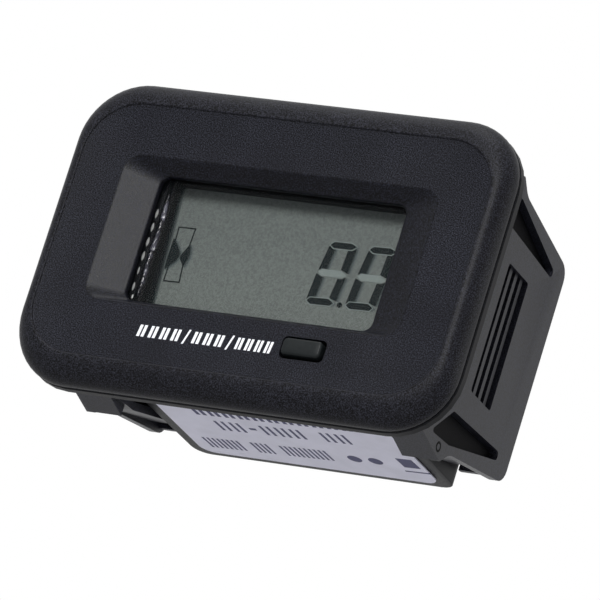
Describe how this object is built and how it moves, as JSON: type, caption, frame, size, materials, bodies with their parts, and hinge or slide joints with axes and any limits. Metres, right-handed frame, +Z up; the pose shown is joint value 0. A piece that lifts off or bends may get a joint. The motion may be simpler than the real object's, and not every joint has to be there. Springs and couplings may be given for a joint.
{
  "type": "panel hour meter",
  "caption": "Panel-mounted digital hour meter with a rounded bezel, sloped display window, mode button and slide-on ratchet clips.",
  "frame": {"origin": "centre of the panel cut-out, in the plane of the flange's rear face that rests on the panel", "axes": "+Z up, the display faces -Y, and the body runs back along +Y"},
  "size_m": [0.052, 0.0327, 0.035],
  "materials": {
    "bezel_plastic": "black, fine spark-textured moulding",
    "housing_plastic": "black satin moulding",
    "clip_plastic": "dark grey-black satin moulding",
    "button_rubber": "black satin rubber",
    "lens_plastic": "clear moulded window",
    "display_glass": "grey-green liquid crystal cell",
    "white_film": "white film",
    "white_plastic": "white moulding",
    "black_elastomer": "black rubber",
    "board_laminate": "green solder mask",
    "plated_steel": "bright plated",
    "contact_metal": "bright spring strip",
    "chip_resin": "black moulding resin",
    "resistor_coating": "tan lacquer",
    "capacitor_sleeve": "dark blue sleeve"
  },
  "bodies": {
    "meter": {"front_bezel": "bezel_plastic", "housing": "housing_plastic", "window_lens": "lens_plastic", "wire_bushing": "black_elastomer", "underside_label": "white_film", "display_frame": "black_elastomer", "lcd_cell": "display_glass", "reflector_sheet": "white_film", "display_holder": "white_plastic", "zebra_strip_upper": "black_elastomer", "zebra_strip_lower": "black_elastomer", "circuit_board": "board_laminate", "board_screw_1": "plated_steel", "board_screw_2": "plated_steel", "board_screw_3": "plated_steel", "microcontroller": "chip_resin", "clock_crystal": "plated_steel", "supply_capacitor": "capacitor_sleeve", "voltage_regulator": "chip_resin", "input_resistor": "resistor_coating", "protection_diode": "chip_resin", "coin_cell": "plated_steel", "battery_contact_negative": "contact_metal", "battery_contact_positive": "contact_metal", "tact_switch": "chip_resin"},
    "button": {"mode_button": "button_rubber", "switch_plunger": "white_plastic"},
    "right_clip": {"mounting_clip_right": "clip_plastic"},
    "left_clip": {"mounting_clip_left": "clip_plastic"}
  },
  "joints": [
    {"name": "button_press", "type": "slide", "parent": "meter", "child": "button", "axis": [0, 1, 0], "range_m": [0, 0.0006], "stiffness_N_per_m": 1500, "springref_m": -0.0002},
    {"name": "right_clip_slide", "type": "slide", "parent": "meter", "child": "right_clip", "axis": [0, 1, 0], "range_m": [0, 0.006]},
    {"name": "left_clip_slide", "type": "slide", "parent": "meter", "child": "left_clip", "axis": [0, 1, 0], "range_m": [0, 0.006]}
  ]
}
